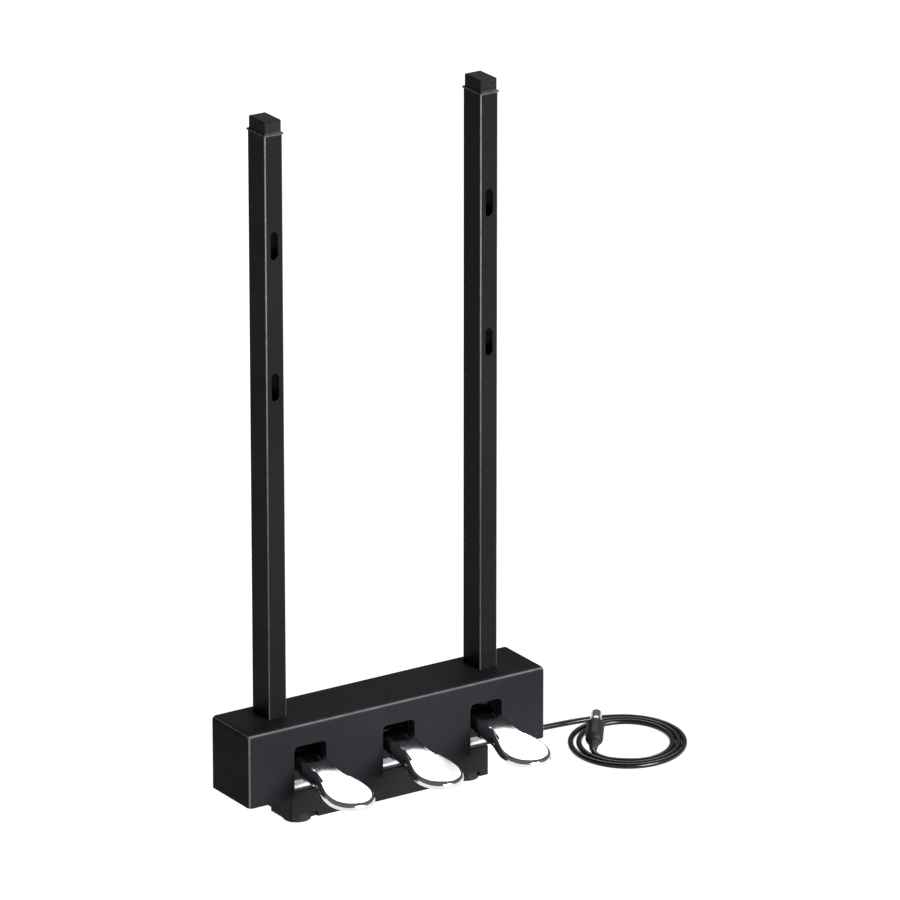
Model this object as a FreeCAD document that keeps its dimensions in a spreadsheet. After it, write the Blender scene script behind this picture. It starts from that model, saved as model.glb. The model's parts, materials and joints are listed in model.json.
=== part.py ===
import FreeCAD, Part
import Sketcher
import math
import os
import re

# Three-pedal unit with two steel uprights and a lead that ends in a round plug. Millimetres.
# +X is the player's right, +Y is away from the player, +Z is up. The origin is on the floor,
# under the middle of the box that holds the unit without its free lead.

PEDAL_REACH = 80.0
COVER_DEPTH = 59.5
FRONT = (PEDAL_REACH - COVER_DEPTH) / 2

SIZES = {
    # places, measured from the front face of the cover
    "front": FRONT, "pedalPitch": 86.0, "uprightX": 103.0, "uprightY": FRONT + 22.4,
    "pivotY": FRONT + 46.0, "pivotZ": 58.0, "deckZ": 31.0,
    # cover
    "coverWide": 290.0, "coverDeep": COVER_DEPTH, "coverZ": 30.5, "coverTall": 63.5,
    "coverWall": 2.5, "coverRound": 4.0, "mouthWide": 31.0, "mouthTall": 44.8,
    "mouthRound": 4.0, "jambDeep": 7.0, "jambWall": 2.0, "holeGap": 0.3,
    # base tray
    "baseWide": 194.0, "baseY": FRONT + 12.7, "baseDeep": 32.3, "baseZ": 3.8, "baseTall": 25.2,
    "baseWall": 2.5, "tailWide": 186.0, "tailDeep": 10.9,
    # feet
    "footX": 82.6, "footY": FRONT + 26.9, "footRad": 11.9, "footTall": 8.0,
    "rearFootY": FRONT + 47.5, "rearFootRad": 7.8,
    # steel plate and its ears
    "plateWide": 282.0, "plateY": FRONT + 16.0, "plateDeep": 40.5, "plateThick": 2.0,
    "earThick": 2.0, "earIn": 5.5, "earDeep": 10.0, "earTop": 64.0,
    # uprights, caps and brackets
    "tubeWide": 17.0, "tubeDeep": 26.0, "tubeWall": 1.2, "tubeRound": 1.2, "tubeTop": 593.0,
    "slotWide": 7.0, "slotLong": 24.0, "slotDrop": 92.5, "slotPitch": 120.0,
    "capFlange": 1.6, "capLip": 0.5, "capWide": 15.6, "capDeep": 24.2, "capTall": 10.6,
    "capPlug": 12.0, "bracketThick": 2.0, "bracketTall": 44.0, "bracketFoot": 13.0,
    # pedals
    "armWide": 9.0, "armTall": 12.0, "armFront": FRONT + 10.0, "armBack": FRONT + 54.0,
    "neckHalf": 11.8, "paddleHalf": 21.0, "neckTop": 65.3, "neckDrop": 11.0, "keelY": FRONT + 20.0,
    "keelDeep": 5.0, "keelZ": 36.9, "skin": 2.4,
    "flareStart": 19.5, "broadest": 59.5,
    # pivot
    "shaftRad": 2.5, "bushRad": 4.0, "bushGap": 0.05, "bushLip": 0.8, "bushLipRad": 5.4,
    # springs, felts
    "coilRad": 4.0, "wireRad": 0.6, "springY": FRONT + 31.5, "springTurns": 6.0,
    "stopY": FRONT + 16.6, "stopDeep": 10.0, "stopHalf": 11.5, "stopTall": 3.0,
    "stopLip": 3.2, "stopWaist": 7.9,
    "restY": FRONT + 50.2, "restDeep": 5.0, "restTall": 2.0, "restGap": 0.3,
    # sensing
    "boardWide": 183.0, "boardY": FRONT + 25.5, "boardDeep": 19.0, "boardZ": 79.6,
    "boardThick": 1.6, "sensorWide": 12.0, "sensorDeep": 6.0, "sensorTall": 10.6,
    "sensorSlot": 3.0, "vaneThick": 0.8, "vaneTop": 74.0,
    # screws
    "screwRad": 1.5, "screwGap": 0.1, "bossRad": 4.0, "footSoft": 1.6, "capSoft": 0.7,
    # lead: where it leaves the base, its strain relief and its radius
    "exitX": 28.0, "exitY": FRONT + 55.9, "exitZ": 15.0, "cordHole": 3.4, "reliefLong": 18.0,
    "cordRad": 2.5, "innerLeadRad": 1.2,
    # coil, seen along the direction of its long axis
    "coilX": 237.0, "coilY": FRONT + 13.0, "coilTurn": -33.1, "coilHalfWide": 51.9,
    "coilHalfDeep": 59.6, "coilRoomWide": 34.0, "coilRoomDeep": 41.5,
    # plug, measured along its axis from its tail
    "plugTilt": 13.0, "plugSwing": 4.0, "plugU": -29.2, "plugV": -23.8, "plugZ": 4.6, "bootLong": 11.0,
    "bodyLong": 25.0, "collarLong": 7.5, "shellLong": 9.5, "bodyRad": 7.6, "collarRad": 5.1,
    "shellRad": 4.7, "shellWall": 0.5, "pinRad": 0.5,
}

NODES = []
doc = FreeCAD.newDocument("pedal_unit")
sheet = doc.addObject("Spreadsheet::Sheet", "Sizes")
for row, (alias, value) in enumerate(SIZES.items(), start=1):
    sheet.set(f"A{row}", alias)
    sheet.set(f"B{row}", repr(value))
    sheet.setAlias(f"B{row}", alias)
doc.recompute()

# ---------------------------------------------------------------- helpers


def size(name):
    """The value of one cell, for shapes that Part's own functions make."""
    return float(sheet.get(name))


def bind(text):
    """Turn sheet aliases in a formula into references to the sheet."""
    return re.sub(r"[A-Za-z]\w*", lambda m: "Sizes." + m[0] if m[0] in SIZES else m[0], str(text))


def keep(obj, label):
    """Name a finished sub-part and list it for export."""
    obj.Label = label
    NODES.append(obj)
    return obj


def at(obj, place):
    """Bind an object's place to formulas."""
    for axis, text in zip("xyz", place):
        obj.setExpression("Placement.Base." + axis, bind(text))
    return obj


def box(name, sides, place):
    """A block, by its sides and its low corner."""
    obj = doc.addObject("Part::Box", name)
    for prop, text in zip(("Length", "Width", "Height"), sides):
        obj.setExpression(prop, bind(text))
    return at(obj, place)


def rod(name, radius, length, place, along="z"):
    """A cylinder from its start point along one axis."""
    obj = doc.addObject("Part::Cylinder", name)
    obj.setExpression("Radius", bind(radius))
    obj.setExpression("Height", bind(length))
    tips = {"x": (FreeCAD.Vector(0, 1, 0), 90), "y": (FreeCAD.Vector(1, 0, 0), -90)}
    if along in tips:
        obj.Placement.Rotation = FreeCAD.Rotation(*tips[along])
    return at(obj, place)


def fuse(name, parts):
    obj = doc.addObject("Part::MultiFuse", name)
    obj.Shapes = parts
    return obj


def cut(name, base, tools):
    obj = doc.addObject("Part::Cut", name)
    obj.Base = base
    obj.Tool = tools[0] if len(tools) == 1 else fuse(name + "_tools", tools)
    return obj


def rounded(name, base, radius, chosen):
    """A Part fillet on the edges that chosen(edge) picks."""
    doc.recompute()
    obj = doc.addObject("Part::Fillet", name)
    obj.Base = base
    edges = [i for i, edge in enumerate(base.Shape.Edges, start=1) if chosen(edge)]
    obj.Edges = [(i, size(radius), size(radius)) for i in edges]
    return obj


def upright_edge(edge):
    return abs(edge.tangentAt(edge.FirstParameter).z) > 0.99 and edge.Length > 5


def new_body(name, plane, points):
    """A PartDesign body with a polygon sketch whose corners are bound to formulas."""
    body = doc.addObject("PartDesign::Body", name)
    sketch = body.newObject("Sketcher::SketchObject", name + "_outline")
    origin = [f for f in body.Origin.OriginFeatures if f.Role == plane][0]
    sketch.AttachmentSupport = (origin, "")
    sketch.MapMode = "FlatFace"
    add_polygon(sketch, points)
    doc.recompute()
    return body, sketch


def add_polygon(sketch, points):
    first = sketch.GeometryCount
    spots = [FreeCAD.Vector(evaluate(x), evaluate(y), 0) for x, y in points]
    for a, b in zip(spots, spots[1:] + spots[:1]):
        sketch.addGeometry(Part.LineSegment(a, b), False)
    count = len(points)
    for i in range(count):
        after = first + (i + 1) % count
        sketch.addConstraint(Sketcher.Constraint("Coincident", first + i, 2, after, 1))
    for i, (x, y) in enumerate(points):
        for kind, text, axis in (("DistanceX", x, -2), ("DistanceY", y, -1)):
            if evaluate(text) == 0:
                rule = Sketcher.Constraint("PointOnObject", first + i, 1, axis)
                sketch.addConstraint(rule)
                continue
            value = evaluate(text)
            index = sketch.addConstraint(Sketcher.Constraint(kind, -1, 1, first + i, 1, value))
            sketch.setExpression(f"Constraints[{index}]", bind(text))


def evaluate(text):
    """The number that a formula of sheet aliases stands for."""
    return float(FreeCAD.Units.Quantity(re.sub(
        r"[A-Za-z]\w*", lambda m: repr(SIZES[m[0]]) if m[0] in SIZES else m[0], str(text))))


def padded(name, plane, points, length, place):
    """A pad of a polygon. On the XY plane it rises; on YZ it runs along +X."""
    body, sketch = new_body(name, plane, points)
    pad = body.newObject("PartDesign::Pad", name + "_pad")
    pad.Profile = sketch
    pad.setExpression("Length", bind(length))
    body.Tip = pad
    return at(body, place)


def turned(name, points, place, rotation=None):
    """A body of revolution about its own Z: points are (radius, height). Place is formulas or a point."""
    body, sketch = new_body(name, "XZ_Plane", points)
    ring = body.newObject("PartDesign::Revolution", name + "_turn")
    ring.Profile = sketch
    ring.ReferenceAxis = (sketch, ["V_Axis"])
    ring.Angle = 360
    body.Tip = ring
    if rotation is not None:
        body.Placement.Rotation = rotation
    if isinstance(place, FreeCAD.Vector):
        body.Placement.Base = place
        return body
    return at(body, place)


def screw(name, place, shank, up=True):
    """A pan-head screw: its head's seat is at place, its shank runs up or down."""
    x, y, z = place
    head = rod(name + "_head", "screwRad * 1.9", "screwRad * 1.3",
               (x, y, f"{z} - screwRad * 1.3" if up else z))
    low = z if up else f"{z} - {shank}"
    stem = rod(name + "_stem", "screwRad", shank, (x, y, low))
    return fuse(name, [head, stem])


def side_name(sign):
    return {-1: "left", 0: "middle", 1: "right"}[sign]


# ---------------------------------------------------------------- top cover

SCREW_POSTS = [(-134, "front + 21"), (134, "front + 21"), (-134, "front + 51"), (134, "front + 51"),
               (-43, "front + 49.5"), (43, "front + 49.5")]
BOARD_POSTS = [(-60, "front + 30"), (60, "front + 30"), (-24, "front + 41"), (24, "front + 41")]
ROOF = "coverZ + coverTall - coverWall"


def top_cover():
    """Moulded cover: open below, three arched mouths in front, two holes for the uprights."""
    block = box("cover_block", ("coverWide", "coverDeep", "coverTall"), ("-coverWide / 2", "front", "coverZ"))
    top = size("coverZ") + size("coverTall")

    def outer(edge):
        return upright_edge(edge) or all(abs(v.Point.z - top) < 0.01 for v in edge.Vertexes)

    shell = rounded("cover_rounded", block, "coverRound", outer)
    inside = box("cover_inside", ("coverWide - 2 * coverWall", "coverDeep - 2 * coverWall",
                                  "coverTall - coverWall"),
                 ("-coverWide / 2 + coverWall", "front + coverWall", "coverZ"))
    tools = [inside]
    for sign in (-1, 1):
        tools.append(box(f"tube_hole_{side_name(sign)}",
                         ("tubeWide + 2 * holeGap", "tubeDeep + 2 * holeGap", "coverWall * 2"),
                         (f"{sign} * uprightX - tubeWide / 2 - holeGap", "uprightY - holeGap", ROOF)))
    hull = cut("cover_hull", shell, tools)
    frames, mouths = [], []
    for sign in (-1, 0, 1):
        name, middle = side_name(sign), f"{sign} * pedalPitch"
        frames.append(box(f"jamb_{name}", ("mouthWide + 2 * jambWall", "jambDeep", "mouthTall + jambWall"),
                          (f"{middle} - mouthWide / 2 - jambWall", "front + coverWall / 2", "coverZ")))
        arch = box(f"mouth_block_{name}", ("mouthWide", "jambDeep * 3", "mouthTall * 2"),
                   (f"{middle} - mouthWide / 2", "front - jambDeep", "coverZ - mouthTall"))
        mouths.append(rounded(f"mouth_{name}", arch, "mouthRound",
                              lambda e: abs(e.tangentAt(e.FirstParameter).y) > 0.99
                              and e.Vertexes[0].Point.z > size("coverZ")))
    posts, holes = [], []
    for i, (x, y) in enumerate(SCREW_POSTS):
        posts.append(rod(f"post_{i}", "bossRad", "coverTall - coverWall - 0.5", (x, y, "coverZ + 0.5")))
        holes.append(rod(f"post_hole_{i}", "screwRad + screwGap", "12", (x, y, "coverZ + 0.5")))
    for i, (x, y) in enumerate(BOARD_POSTS):
        lift = "boardZ + boardThick"
        posts.append(rod(f"board_post_{i}", "bossRad - 0.5", f"{ROOF} - {lift} + 0.5".replace(
            "- boardZ + boardThick", "- boardZ - boardThick"), (x, y, lift)))
        holes.append(rod(f"board_post_hole_{i}", "screwRad + screwGap", "6.5", (x, y, lift)))
    solid = fuse("cover_with_posts", [hull] + frames + posts)
    return keep(cut("cover", solid, mouths + holes), "top_cover")


# ---------------------------------------------------------------- base tray and feet

BASE_POSTS = [(x, y) for x in (-62, 62) for y in ("front + 24", "front + 47")]


def bottom_base():
    """Moulded tray under the cover, set back from its front, with wells for the feet."""
    main = box("base_main", ("baseWide", "baseDeep", "baseTall"), ("-baseWide / 2", "baseY", "baseZ"))
    tail = box("base_tail", ("tailWide", "baseDeep + tailDeep", "baseTall"), ("-tailWide / 2", "baseY", "baseZ"))
    outside = fuse("base_outside", [main, tail])
    shell = rounded("base_rounded", outside, "footSoft", upright_edge)
    hollow = fuse("base_hollow", [
        box("base_room", ("baseWide - 2 * baseWall", "baseDeep - 2 * baseWall", "baseTall"),
            ("-baseWide / 2 + baseWall", "baseY + baseWall", "baseZ + baseWall")),
        box("base_tail_room", ("tailWide - 2 * baseWall", "baseDeep + tailDeep - 2 * baseWall", "baseTall"),
            ("-tailWide / 2 + baseWall", "baseY + baseWall", "baseZ + baseWall"))])
    tray = cut("base_tray", shell, [hollow])
    wells, pockets = [], []
    for sign in (-1, 1):
        for spot, y, radius in (("front", "footY", "footRad"), ("rear", "rearFootY", "rearFootRad")):
            name = f"{spot}_{side_name(sign)}"
            x = f"{sign} * footX"
            wells.append(rod(f"well_{name}", f"{radius}", "footTall - baseZ + baseWall", (x, y, "baseZ")))
            pockets.append(rod(f"pocket_{name}", f"{radius} + screwGap", "footTall", (x, y, "0")))
        pockets.append(box(f"notch_{side_name(sign)}", ("17.5", "baseWall * 2", "footTall + 0.5"),
                           (f"{sign} * 79.5 - 8.75", "baseY - baseWall", "0")))
    for i, (x, y) in enumerate(BASE_POSTS):
        wells.append(rod(f"base_post_{i}", "bossRad + 2", "baseTall", (x, y, "baseZ")))
        pockets.append(rod(f"base_bore_{i}", "screwRad * 1.9 + 0.5", "baseTall - 5", (x, y, "baseZ")))
        pockets.append(rod(f"base_hole_{i}", "screwRad + screwGap", "baseTall", (x, y, "baseZ")))
    pockets.append(rod("base_cord_hole", "cordHole", "baseWall * 3", ("exitX", "exitY - 6", "exitZ"), "y"))
    return keep(cut("base", fuse("base_with_wells", [tray] + wells), pockets), "bottom_base")


def feet():
    """Four rubber pucks, each with a soft lower edge."""
    for sign in (-1, 1):
        for spot, y, radius in (("front", "footY", "footRad"), ("rear", "rearFootY", "rearFootRad")):
            soft = "footSoft"
            profile = [("0", "0"), (f"{radius} - {soft}", "0"), (f"{radius} - {soft} * 0.3", f"{soft} * 0.3"),
                       (radius, soft), (radius, "footTall"), ("0", "footTall")]
            puck = turned(f"foot_body_{spot}_{side_name(sign)}", profile, (f"{sign} * footX", y, "0"))
            keep(puck, f"foot_{spot}_{side_name(sign)}")


# ---------------------------------------------------------------- steel plate

def pedal_chassis():
    """Steel plate that carries the uprights, with two ears and a rest post for each pedal."""
    plate = box("plate", ("plateWide", "plateDeep", "plateThick"), ("-plateWide / 2", "plateY", "deckZ - plateThick"))
    raised, holes = [plate], []
    for sign in (-1, 0, 1):
        name, middle = side_name(sign), f"{sign} * pedalPitch"
        for hand in (-1, 1):
            low = f"{middle} + earIn" if hand > 0 else f"{middle} - earIn - earThick"
            raised.append(box(f"ear_{name}_{hand + 1}", ("earThick", "earDeep", "earTop - deckZ"),
                              (low, "pivotY - earDeep / 2", "deckZ")))
        holes.append(rod(f"ear_hole_{name}", "shaftRad + 0.02", "earIn * 2 + earThick * 4",
                         (f"{middle} - earIn - earThick * 2", "pivotY", "pivotZ"), "x"))
        raised.append(box(f"rest_post_{name}", ("armWide - 1", "restDeep", "pivotZ - armTall / 2"
                                                " - restGap - restTall - deckZ"),
                          (f"{middle} - armWide / 2 + 0.5", "restY", "deckZ")))
    holes.append(rod("plate_lead_hole", "3.5", "plateThick * 3",
                     ("exitX + 1.8", "front + 36.8", "deckZ - plateThick * 2")))
    for i, (x, y) in enumerate(SCREW_POSTS + BASE_POSTS):
        holes.append(rod(f"plate_hole_{i}", "screwRad + screwGap", "plateThick * 3", (x, y, "deckZ - plateThick * 2")))
    for sign in (-1, 1):
        for i, (x, y) in enumerate(bracket_feet(sign)):
            holes.append(rod(f"bracket_hole_{side_name(sign)}_{i}", "screwRad + screwGap", "plateThick * 3",
                             (x, y, "deckZ - plateThick * 2")))
    return keep(cut("chassis", fuse("chassis_raised", raised), holes), "pedal_chassis")


def bracket_feet(sign):
    middle = f"{sign} * (uprightX + tubeWide / 2 + bracketThick + bracketFoot / 2 + 0.2)"
    return [(middle, "uprightY + 5"), (middle, "uprightY + tubeDeep - 5")]


# ---------------------------------------------------------------- uprights

def upright(sign):
    """Rectangular steel tube with two upright slots through its front and back walls."""
    name = side_name(sign)
    half, wall = "tubeWide / 2", "tubeWall"
    ring = [(f"-{half}", "0"), (half, "0"), (half, "tubeDeep"), (f"-{half}", "tubeDeep")]
    body, sketch = new_body(f"tube_{name}", "XY_Plane", ring)
    add_polygon(sketch, [(f"-{half} + {wall}", wall), (f"{half} - {wall}", wall),
                         (f"{half} - {wall}", f"tubeDeep - {wall}"), (f"-{half} + {wall}", f"tubeDeep - {wall}")])
    pad = body.newObject("PartDesign::Pad", f"tube_pad_{name}")
    pad.Profile = sketch
    pad.setExpression("Length", bind("tubeTop - deckZ"))
    body.Tip = pad
    doc.recompute()
    soft = body.newObject("PartDesign::Fillet", f"tube_corners_{name}")
    corners = [f"Edge{i}" for i, e in enumerate(pad.Shape.Edges, start=1)
               if upright_edge(e) and abs(abs(e.Vertexes[0].Point.x) - size("tubeWide") / 2) < 0.01]
    soft.Base = (pad, corners)
    soft.setExpression("Radius", bind("tubeRound"))
    body.Tip = soft
    at(body, (f"{sign} * uprightX", "uprightY", "deckZ"))
    slots = []
    for i in range(2):
        middle = f"tubeTop - slotDrop - {i} * slotPitch"
        slots.append(box(f"slot_{name}_{i}", ("slotWide", "tubeDeep * 2", "slotLong - slotWide"),
                         (f"{sign} * uprightX - slotWide / 2", "uprightY - tubeDeep / 2",
                          f"{middle} - slotLong / 2 + slotWide / 2")))
        for end in (-1, 1):
            slots.append(rod(f"slot_end_{name}_{i}_{end + 1}", "slotWide / 2", "tubeDeep * 2",
                             (f"{sign} * uprightX", "uprightY - tubeDeep / 2",
                              f"{middle} + {end} * (slotLong - slotWide) / 2"), "y"))
    for i in range(2):
        slots.append(rod(f"tube_screw_hole_{name}_{i}", "screwRad + screwGap", "tubeWall * 3",
                         side_screw(sign, i, "tubeWide / 2 - tubeWall * 1.5"), "x"))
    return keep(cut(f"upright_cut_{name}", body, slots), f"upright_{name}")


def side_screw(sign, i, reach):
    """Start point, at its lower X end, of a hole or screw through a tube's outer wall."""
    x = f"{sign} * uprightX + ({reach})" if sign > 0 else f"{sign} * uprightX - ({reach}) - tubeWall * 3"
    return (x, "uprightY + tubeDeep / 2", f"deckZ + 16 + {i} * 20")


def cap(sign):
    """Moulded end plug: a block above a thin flange, with a hollow tongue inside the tube."""
    name = side_name(sign)
    flange = box(f"cap_flange_{name}", ("tubeWide + 2 * capLip", "tubeDeep + 2 * capLip", "capFlange"),
                 (f"{sign} * uprightX - tubeWide / 2 - capLip", "uprightY - capLip", "tubeTop"))
    block = box(f"cap_block_{name}", ("capWide", "capDeep", "capTall"),
                (f"{sign} * uprightX - capWide / 2", "uprightY + tubeDeep / 2 - capDeep / 2",
                 "tubeTop + capFlange"))
    soft = rounded(f"cap_soft_{name}", block, "capSoft",
                   lambda e: upright_edge(e) or e.BoundBox.ZMin > size("tubeTop") + size("capTall"))
    tongue = box(f"cap_tongue_{name}", ("tubeWide - 2 * tubeWall - 0.4", "tubeDeep - 2 * tubeWall - 0.4", "capPlug"),
                 (f"{sign} * uprightX - tubeWide / 2 + tubeWall + 0.2", "uprightY + tubeWall + 0.2",
                  "tubeTop - capPlug"))
    room = box(f"cap_room_{name}", ("tubeWide - 4 * tubeWall - 0.4", "tubeDeep - 4 * tubeWall - 0.4", "capPlug + 2"),
               (f"{sign} * uprightX - tubeWide / 2 + 2 * tubeWall + 0.2", "uprightY + 2 * tubeWall + 0.2",
                "tubeTop - capPlug - 2"))
    return keep(cut(f"cap_cut_{name}", fuse(f"cap_sum_{name}", [flange, soft, tongue]), [room]), f"cap_{name}")


def bracket(sign):
    """Folded steel channel round the foot of a tube, open on the pedals' side."""
    name = side_name(sign)
    thick, gap = "bracketThick", "0.2"
    far = f"(tubeWide / 2 + {gap})"
    wall_x = f"{sign} * uprightX + {far}" if sign > 0 else f"{sign} * uprightX - {far} - {thick}"
    deep = f"tubeDeep + 2 * {gap} + 2 * {thick}"
    wall = box(f"bracket_wall_{name}", (thick, deep, "bracketTall"), (wall_x, f"uprightY - {gap} - {thick}", "deckZ"))
    flange_x = f"{sign} * uprightX - tubeWide / 2" if sign > 0 else f"{sign} * uprightX - {far}"
    flanges = [box(f"bracket_flange_{name}_{i}", (f"tubeWide + {gap}", thick, "bracketTall"), (flange_x, y, "deckZ"))
               for i, y in enumerate((f"uprightY - {gap} - {thick}", f"uprightY + tubeDeep + {gap}"))]
    foot_x = f"{sign} * uprightX + {far}" if sign > 0 else f"{sign} * uprightX - {far} - {thick} - bracketFoot"
    foot = box(f"bracket_foot_{name}", (f"bracketFoot + {thick}", deep, thick),
               (foot_x, f"uprightY - {gap} - {thick}", "deckZ"))
    holes = [rod(f"bracket_side_hole_{name}_{i}", "screwRad + screwGap", "tubeWall * 6",
                 side_screw(sign, i, "tubeWide / 2 - tubeWall"), "x") for i in range(2)]
    holes += [rod(f"bracket_foot_hole_{name}_{i}", "screwRad + screwGap", "bracketThick * 3",
                  (x, y, "deckZ - bracketThick")) for i, (x, y) in enumerate(bracket_feet(sign))]
    return keep(cut(f"bracket_cut_{name}", fuse(f"bracket_sum_{name}", [wall, foot] + flanges), holes),
                f"upright_bracket_{name}")


# ---------------------------------------------------------------- pedals

def pedal_outline(inset):
    """Plan of neck and paddle, in the pedal's own frame: Y runs from the front face of the cover."""
    neck, wide, reach = size("neckHalf") - inset, size("paddleHalf") - inset, PEDAL_REACH - inset
    back = size("armFront") - size("front") + 2 - inset
    flare, broad = -size("flareStart"), -size("broadest")
    v = FreeCAD.Vector
    swell = Part.BezierCurve()
    swell.setPoles([v(neck, flare, 0), v(neck, flare - 13, 0), v(wide, broad + 16, 0), v(wide, broad, 0)])
    nose = Part.Ellipse(v(wide, broad, 0), v(0, 2 * broad + reach, 0), v(0, broad, 0))
    half = [Part.makeLine(v(neck, back, 0), v(neck, flare, 0)), swell.toShape(),
            Part.ArcOfEllipse(nose, 1.5 * math.pi, 2 * math.pi).toShape()]
    other = [edge.mirror(v(0, 0, 0), v(1, 0, 0)) for edge in half]
    edges = half + other + [Part.makeLine(v(-neck, back, 0), v(neck, back, 0))]
    return Part.Face(Part.Wire(Part.__sortEdges__(edges)))


def pedal_profile(lower, upper):
    """Side view of neck and paddle: the top slopes down to the tip, the flanks get shallower."""
    slope = math.tan(math.radians(size("neckDrop")))
    top = size("neckTop")
    stations = [(14, 13), (-20, 12.6), (-42, 8.2), (-58, 6.4), (-PEDAL_REACH - 1, 5.4)]
    high = [FreeCAD.Vector(0, y, top + y * slope - upper) for y, _ in stations]
    low = [FreeCAD.Vector(0, y, top + y * slope - deep - lower) for y, deep in stations]
    face = Part.Face(Part.makePolygon(high + low[::-1] + high[:1]))
    face.translate(FreeCAD.Vector(-40, 0, 0))
    return face.extrude(FreeCAD.Vector(80, 0, 0))


def pedal(sign):
    """Plated pedal: hollow neck and paddle outside, solid arm inside with the pivot's bore."""
    name = side_name(sign)
    solid = pedal_outline(0).extrude(FreeCAD.Vector(0, 0, 90)).common(pedal_profile(0, 0))
    room = pedal_outline(size("skin")).extrude(FreeCAD.Vector(0, 0, 90)).common(pedal_profile(20, size("skin")))
    shell = solid.cut(room)
    half, front = size("armWide") / 2, size("front")
    low = size("pivotZ") - size("armTall") / 2
    back = size("armFront") - front
    arm = Part.makeBox(2 * half, size("armBack") - size("armFront"), size("armTall"), FreeCAD.Vector(-half, back, low))
    keel_y = size("keelY") - front
    keel = Part.makeBox(2 * half, size("keelDeep"), low - size("keelZ"), FreeCAD.Vector(-half, keel_y, size("keelZ")))
    bore = Part.makeCylinder(size("bushRad") + 0.02, 20, FreeCAD.Vector(-10, size("pivotY") - front, size("pivotZ")),
                             FreeCAD.Vector(1, 0, 0))
    shape = shell.fuse([arm, keel]).removeSplitter().cut(bore)
    obj = doc.addObject("Part::Feature", f"pedal_shape_{name}")
    obj.Shape = shape
    return keep(at(obj, (f"{sign} * pedalPitch", "front", "0")), f"pedal_{name}")


def pivot(sign):
    """Shaft fixed in the chassis ears, and the two flanged bushes that the pedal turns on."""
    name, middle = side_name(sign), f"{sign} * pedalPitch"
    sideways = FreeCAD.Rotation(FreeCAD.Vector(0, 1, 0), 90)
    half = "earIn + earThick + 0.5"
    shaft = turned(f"shaft_body_{name}", [("0", "0"), ("shaftRad", "0"), ("shaftRad", f"2 * ({half})"),
                                          ("0", f"2 * ({half})")],
                   (f"{middle} - ({half})", "pivotY", "pivotZ"), sideways)
    keep(shaft, f"pivot_shaft_{name}")
    bushes = []
    bore, lip, long = "shaftRad + bushGap", "bushLip", "armWide / 2 - 0.2"
    for hand in (-1, 1):
        profile = [(bore, "0"), ("bushLipRad", "0"), ("bushLipRad", lip), ("bushRad", lip),
                   ("bushRad", f"{lip} + {long}"), (bore, f"{lip} + {long}")]
        turn = FreeCAD.Rotation(FreeCAD.Vector(0, 1, 0), -90 * hand)
        start = f"{middle} + {hand} * (armWide / 2 + bushLip)"
        bushes.append(turned(f"bush_{name}_{hand + 1}", profile, (start, "pivotY", "pivotZ"), turn))
    group = doc.addObject("Part::Compound", f"bush_pair_{name}")
    group.Links = bushes
    keep(group, f"pivot_bushes_{name}")


def spring(sign):
    """Compression spring under a pedal's arm, standing on the plate."""
    name = side_name(sign)
    low, high = size("deckZ"), size("pivotZ") - size("armTall") / 2
    wire = size("wireRad")
    tall = high - low - 2 * wire - 0.2
    helix = Part.makeHelix(tall / size("springTurns"), tall, size("coilRad"))
    ring = Part.Wire(Part.makeCircle(wire, FreeCAD.Vector(size("coilRad"), 0, 0), FreeCAD.Vector(0, 1, 0)))
    obj = doc.addObject("Part::Feature", f"spring_shape_{name}")
    obj.Shape = Part.Wire(helix).makePipeShell([ring], True, True)
    return keep(at(obj, (f"{sign} * pedalPitch", "springY", "deckZ + wireRad + 0.1")), f"return_spring_{name}")


def felts(sign):
    """Lower stop that meets the pedal's keel, and rest stop under the tail of its arm."""
    name, middle = side_name(sign), f"{sign} * pedalPitch"
    half, lip, waist = "stopHalf", "stopLip", "stopWaist"
    outline = [(f"-{half}", "0"), (half, "0"), (half, lip), (waist, f"{lip} + 0.2"), (waist, "stopDeep"),
               (f"-{waist}", "stopDeep"), (f"-{waist}", f"{lip} + 0.2"), (f"-{half}", lip)]
    stop = padded(f"stop_body_{name}", "XY_Plane", outline, "stopTall", (middle, "stopY", "deckZ"))
    keep(stop, f"lower_stop_felt_{name}")
    side = "armWide / 2 - 0.5"
    rest = padded(f"rest_body_{name}", "XY_Plane", [(f"-({side})", "0"), (side, "0"), (side, "restDeep"),
                                                    (f"-({side})", "restDeep")], "restTall",
                  (middle, "restY", "pivotZ - armTall / 2 - restGap - restTall"))
    keep(rest, f"rest_stop_felt_{name}")


# ---------------------------------------------------------------- sensing

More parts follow.
